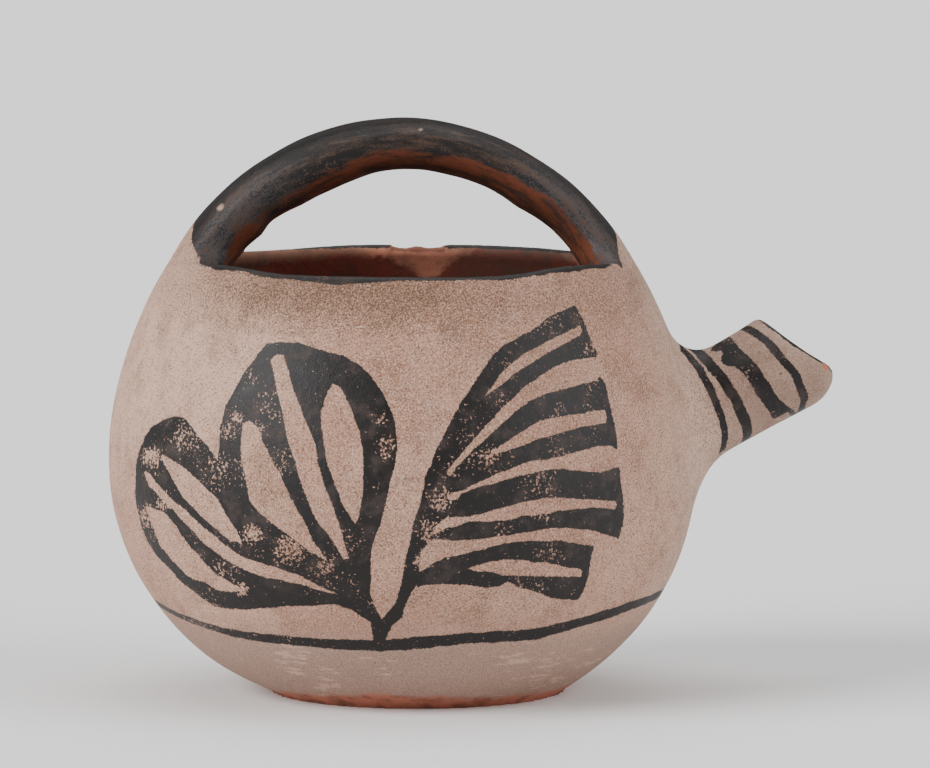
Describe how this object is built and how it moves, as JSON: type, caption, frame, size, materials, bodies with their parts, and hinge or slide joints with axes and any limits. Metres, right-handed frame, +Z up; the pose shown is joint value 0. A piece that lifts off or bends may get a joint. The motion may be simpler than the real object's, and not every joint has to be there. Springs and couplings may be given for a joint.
{
  "type": "pottery pitcher",
  "caption": "Hand-built pottery pitcher with a hollow globular body, an arched handle over the open mouth and a short slanted spout.",
  "frame": {"origin": "on the ground, on the axis that the body was turned about, inside the face of the flat foot", "axes": "+Z up, +X towards the spout, -Y the painted front"},
  "size_m": [0.2191, 0.1782, 0.1737],
  "materials": {
    "slipped_clay": "matt pinkish cream slip with black painted ornament over red-brown fired clay"
  },
  "bodies": {
    "root": {"pitcher": "slipped_clay"}
  },
  "joints": []
}
